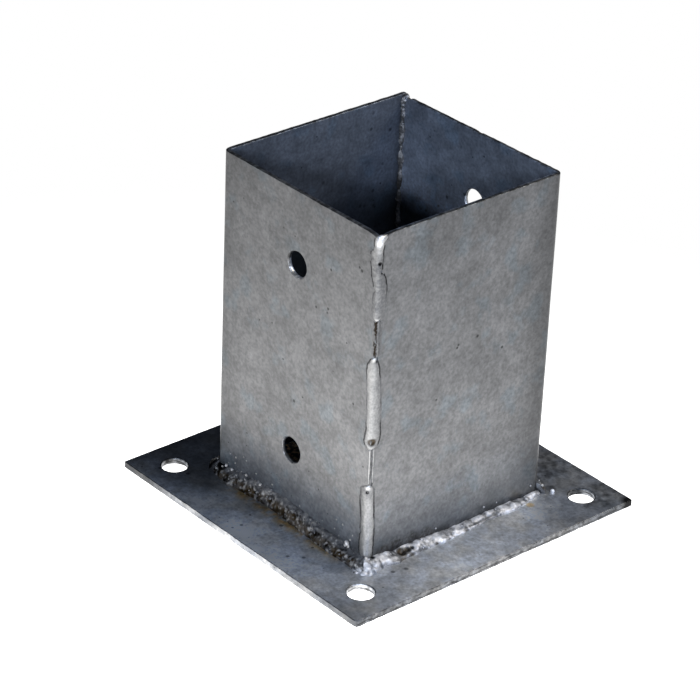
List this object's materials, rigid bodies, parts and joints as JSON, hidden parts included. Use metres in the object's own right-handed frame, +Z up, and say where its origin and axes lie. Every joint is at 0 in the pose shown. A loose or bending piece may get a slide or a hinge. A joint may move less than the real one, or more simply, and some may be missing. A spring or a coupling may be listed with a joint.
{
  "type": "post socket",
  "caption": "Square steel post socket welded to a flat base plate with holes at its corners, with cross-bolt holes through two opposite walls.",
  "frame": {"origin": "centre of the base plate's underside, on the ground", "axes": "+Z up along the socket's axis, +Y and -Y through the walls that take the cross bolts, X across the plain walls; the open seams run up the (+X, -Y) and (-X, +Y) corners"},
  "size_m": [0.15, 0.15, 0.15],
  "materials": {
    "zinc_steel": "dull zinc-coated sheet, mottled and slightly brushed",
    "zinc_plate": "dull zinc-coated plate with sawn edges",
    "weld_metal": "rough, bright and sooty weld bead with spatter"
  },
  "bodies": {
    "root": {"base_plate": "zinc_plate", "base_weld_back": "weld_metal", "base_weld_front": "weld_metal", "base_weld_left": "weld_metal", "base_weld_right": "weld_metal", "front_seam_weld_bottom": "weld_metal", "front_seam_weld_middle": "weld_metal", "front_seam_weld_top": "weld_metal", "rear_seam_root_weld": "weld_metal", "rear_seam_weld_bottom": "weld_metal", "rear_seam_weld_middle": "weld_metal", "rear_seam_weld_top": "weld_metal", "socket_angle_left": "zinc_steel", "socket_angle_right": "zinc_steel"}
  },
  "joints": []
}
